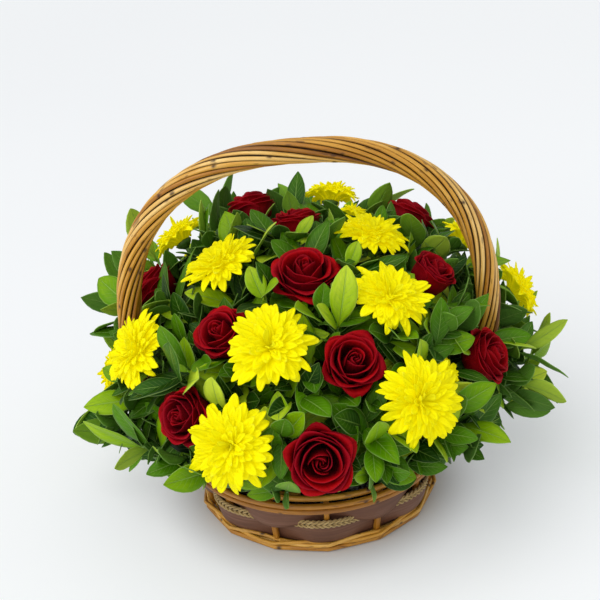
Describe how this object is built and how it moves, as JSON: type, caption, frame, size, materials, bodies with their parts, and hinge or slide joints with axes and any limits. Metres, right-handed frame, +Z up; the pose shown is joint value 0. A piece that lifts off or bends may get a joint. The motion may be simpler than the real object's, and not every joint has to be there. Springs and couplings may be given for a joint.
{
  "type": "flower basket arrangement",
  "caption": "Low round woven willow basket with a hooped handle, filled with a dome of red roses, yellow chrysanthemums and glossy green leaves.",
  "frame": {"origin": "centre of the basket's flat underside", "axes": "+Z up; +X to the right of a viewer in front; +Y away from that viewer; the handle stands in the XZ plane"},
  "size_m": [0.4268, 0.4036, 0.3247],
  "materials": {
    "willow": "buff willow rods, satin, golden brown with darker specks",
    "splint": "dark brown stained splint with long grain",
    "cord": "twisted dry straw cord, matt",
    "liner": "thin clear glossy liner",
    "foam": "wet green floral foam",
    "rose": "velvety deep red petals, on a green stem",
    "mum": "bright yellow petals, on a green stem",
    "leaf": "glossy green leaves with a pale midrib"
  },
  "bodies": {
    "root": {"base_spokes_and_stakes": "willow", "base_weave": "willow", "foam": "foam", "foot_rod_1": "willow", "foot_rod_2": "willow", "handle": "willow", "leaf_branch_01": "leaf", "leaf_branch_02": "leaf", "leaf_branch_03": "leaf", "leaf_branch_04": "leaf", "leaf_branch_05": "leaf", "leaf_branch_06": "leaf", "leaf_branch_07": "leaf", "leaf_branch_08": "leaf", "leaf_branch_09": "leaf", "leaf_branch_10": "leaf", "leaf_branch_11": "leaf", "leaf_branch_12": "leaf", "leaf_branch_13": "leaf", "leaf_branch_14": "leaf", "leaf_branch_15": "leaf", "leaf_branch_16": "leaf", "leaf_branch_17": "leaf", "liner": "liner", "mum_01": "mum", "mum_02": "mum", "mum_03": "mum", "mum_04": "mum", "mum_05": "mum", "mum_06": "mum", "mum_07": "mum", "mum_08": "mum", "mum_09": "mum", "mum_10": "mum", "mum_11": "mum", "mum_12": "mum", "mum_13": "mum", "mum_14": "mum", "rim_rod_1": "willow", "rim_rod_2": "willow", "rim_rod_3": "willow", "rose_01": "rose", "rose_02": "rose", "rose_03": "rose", "rose_04": "rose", "rose_05": "rose", "rose_06": "rose", "rose_07": "rose", "rose_08": "rose", "rose_09": "rose", "rose_10": "rose", "rose_11": "rose", "rose_12": "rose", "rose_13": "rose", "rose_14": "rose", "splint_lower": "splint", "splint_upper": "splint", "twisted_cord": "cord"}
  },
  "joints": []
}
